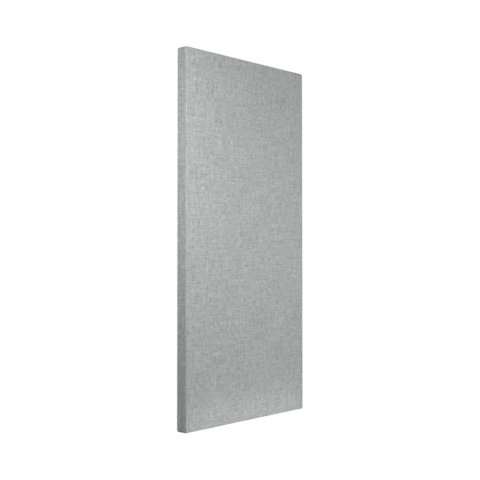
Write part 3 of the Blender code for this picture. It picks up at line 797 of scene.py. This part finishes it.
# Frame battens
# Four battens of planed pine, moulded on the front, rebated on the back and mitred at the corners. The grain
# runs along each batten.
PINE_RINGS = (0.30, 0.008, 0.008)
PINE_PORES = (0.030, 0.00048, 0.00048)


def dress(finish, *names):
    """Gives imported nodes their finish."""
    for name in names:
        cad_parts[name].material_slots[0].material = finish


def pine(name, along_x):
    """Pine with its grain along X, or along Z, where its lengths are taken the other way round."""
    made, tree, inputs = new_finish(name, 0.58)
    place = shader_node(tree, "TexCoord", {})["Object"]
    way = 1 if along_x else -1
    ring_lengths = PINE_RINGS[::way]
    bend = grain_at(tree, stretched(tree, place, tuple(3 * length for length in ring_lengths)), 2.0)
    rings = stretched(tree, place, ring_lengths)
    shifted = shader_node(tree, "VectorMath", {0: rings, 1: bend}, operation="ADD")[0]
    ring_wave = {"Vector": shifted, "Scale": 0.5, "Distortion": 3.0, "Detail": 2.0}
    wood = shader_node(tree, "TexWave", ring_wave, bands_direction="Y")["Fac"]
    pores = grain_at(tree, stretched(tree, place, PINE_PORES[::way]), 3.0, 0.6)
    early = mixed(tree, wood, (0.66, 0.48, 0.28), (0.52, 0.33, 0.16))
    tone = mixed(tree, spread(tree, pores, 0.35, 0.75), early, (0.72, 0.56, 0.36))
    tree.links.new(tone, inputs["Base Color"])
    tree.links.new(calculated(tree, "MULTIPLY_ADD", pores, 0.2, 0.48), inputs["Roughness"])
    bumped(tree, inputs, pores, 0.0001)
    return made


dress(pine("pine_rail", True), "top_rail", "bottom_rail")
dress(pine("pine_stile", False), "left_stile", "right_stile")


# Gussets and brace
# A gusset in each corner and a brace across the middle, cut from birch plywood of five plies. They are let
# into the frame's rebate and screwed down.
PLY = 0.0012
BIRCH_STREAKS = (0.16, 0.05, 0.009)
BIRCH_PORES = (0.008, 0.004, 0.0006)


def birch(name, along_x):
    """Birch veneer with its grain along X, or along Z, where its lengths are taken the other way round."""
    made, tree, inputs = new_finish(name, 0.6)
    place = shader_node(tree, "TexCoord", {})["Object"]
    way = 1 if along_x else -1
    figure = grain_at(tree, stretched(tree, place, BIRCH_STREAKS[::way]), 4.0, 0.6)
    pores = grain_at(tree, stretched(tree, place, BIRCH_PORES[::way]), 2.0)
    depth = shader_node(tree, "SeparateXYZ", {0: place})["Y"]
    odd = calculated(tree, "PINGPONG", calculated(tree, "FLOOR", calculated(tree, "DIVIDE", depth, PLY)), 1.0)
    veneer = mixed(tree, spread(tree, figure, 0.3, 0.7), (0.70, 0.56, 0.38), (0.58, 0.43, 0.26))
    veneer = mixed(tree, calculated(tree, "MULTIPLY", odd, 0.45), veneer, (0.38, 0.25, 0.13))
    veneer = mixed(tree, spread(tree, pores, 0.62, 0.8), veneer, (0.42, 0.29, 0.16))
    tree.links.new(veneer, inputs["Base Color"])
    tree.links.new(calculated(tree, "MULTIPLY_ADD", figure, 0.2, 0.5), inputs["Roughness"])
    bumped(tree, inputs, pores, 0.0001)
    return made


dress(birch("birch_brace", True), "back_brace")
gussets = [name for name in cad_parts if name.startswith("gusset_") and "screw" not in name]
dress(birch("birch_gussets", False), *gussets)


# Strap hangers, rings and screws
# Two folded steel straps, each with a bent wire ring in its eye, and rolled steel screws. All of them have a
# bright zinc plating with duller patches.
def plated(name, colour, roughness):
    made, tree, inputs = new_finish(name, roughness, 1.0)
    place = shader_node(tree, "TexCoord", {})["Object"]
    spangle = grain_at(tree, stretched(tree, place, (0.004, 0.004, 0.004)), 3.0, 0.6)
    rubbed = grain_at(tree, stretched(tree, place, (0.0003, 0.0003, 0.006)), 2.0)
    cloud = blended(tree, spangle, rubbed, 0.7)
    dull = tuple(0.72 * c for c in colour)
    tree.links.new(mixed(tree, spread(tree, cloud, 0.3, 0.65), dull, colour), inputs["Base Color"])
    tree.links.new(calculated(tree, "MULTIPLY_ADD", cloud, 0.3, roughness - 0.15), inputs["Roughness"])
    bumped(tree, inputs, cloud, 0.00004, 0.6)
    return made


zinc = plated("zinc_plated_steel", (0.41, 0.415, 0.405), 0.34)
screw_zinc = plated("zinc_plated_screws", (0.46, 0.47, 0.48), 0.28)
dress(zinc, *(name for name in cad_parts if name.startswith(("hanger_strap", "hanger_ring"))))
dress(screw_zinc, *(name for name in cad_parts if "screw" in name))


# Bumpers
# Four moulded feet of black rubber near the corners of the back, a little dusty. They keep the panel off the
# wall and level on it.
rubber, tree, inputs = new_finish("black_rubber", 0.7)
place = shader_node(tree, "TexCoord", {})["Object"]
dust = grain_at(tree, stretched(tree, place, (0.003, 0.003, 0.003)), 4.0, 0.7)
speck = grain_at(tree, stretched(tree, place, (0.0004, 0.0004, 0.0004)), 2.0)
dusty = mixed(tree, spread(tree, dust, 0.45, 0.8), (0.016, 0.016, 0.017), (0.06, 0.06, 0.058))
tree.links.new(dusty, inputs["Base Color"])
tree.links.new(calculated(tree, "MULTIPLY_ADD", dust, 0.4, 0.45), inputs["Roughness"])
bumped(tree, inputs, speck, 0.00005)
dress(rubber, *(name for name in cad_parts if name.startswith("bumper")))


# Staples
# Bent from flat galvanised wire and driven through the cloth's hem and the back cover into the battens, one
# every four centimetres or so. One is modelled, and the others are its copies.
CROWN = 0.010
LEG = 0.0035
BEND = 0.0006
WIRE_WIDTH, WIRE_DEPTH = 0.0007, 0.0005
OFF_CLOTH = 0.0001
bpy.ops.object.select_all(action="DESELECT")
bpy.ops.mesh.primitive_plane_add(size=1.0)
staple = bpy.context.object
staple.name = "staple"
bpy.ops.object.mode_set(mode="EDIT")
bpy.ops.transform.resize(value=(WIRE_DEPTH, WIRE_WIDTH, 1.0))
bpy.ops.transform.translate(value=(-CROWN / 2, 0.0, -LEG))
bpy.ops.mesh.extrude_region_move(TRANSFORM_OT_translate={"value": (0.0, 0.0, LEG - BEND)})
bpy.ops.mesh.spin(steps=3, angle=-math.pi / 2, center=(BEND - CROWN / 2, 0.0, -BEND), axis=(0.0, 1.0, 0.0))
bpy.ops.mesh.extrude_region_move(TRANSFORM_OT_translate={"value": (CROWN - 2 * BEND, 0.0, 0.0)})
bpy.ops.mesh.spin(steps=3, angle=-math.pi / 2, center=(CROWN / 2 - BEND, 0.0, -BEND), axis=(0.0, 1.0, 0.0))
bpy.ops.mesh.extrude_region_move(TRANSFORM_OT_translate={"value": (0.0, 0.0, BEND - LEG)})
bpy.ops.mesh.select_all(action="SELECT")
bpy.ops.mesh.remove_doubles(threshold=1e-6)
bpy.ops.mesh.normals_make_consistent(inside=False)
bpy.ops.object.mode_set(mode="OBJECT")
bpy.ops.object.shade_smooth_by_angle(angle=math.radians(40))
wire_zinc = plated("galvanised_wire", (0.42, 0.42, 0.41), 0.4)
staple.data.materials.append(wire_zinc)
for side in ("top", "bottom", "left", "right"):
    on_end = side in ("top", "bottom")
    copies = []
    for _, out, along, slant in (place for place in STAPLES if place[0] == side):
        copy = staple.copy()
        copy.data = staple.data.copy()
        scene.collection.objects.link(copy)
        x = along if on_end else out * (HALF_WIDTH - STAPLE_INSET)
        z = out * (HALF_HEIGHT - STAPLE_INSET) if on_end else along
        lay = Matrix.Rotation(slant + (0.0 if on_end else math.pi / 2), 4, "Y")
        stand = Matrix.Rotation(-math.pi / 2, 4, "X")
        copy.data.transform(Matrix.Translation((x, CLOTH_BACK_Y + OFF_CLOTH, z)) @ lay @ stand)
        copies.append(copy)
    bpy.ops.object.select_all(action="DESELECT")
    for copy in copies:
        copy.select_set(True)
    bpy.context.view_layer.objects.active = copies[0]
    bpy.ops.object.join()
    copies[0].name = f"staples_{side}"
    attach(copies[0], "root")
bpy.data.objects.remove(staple)
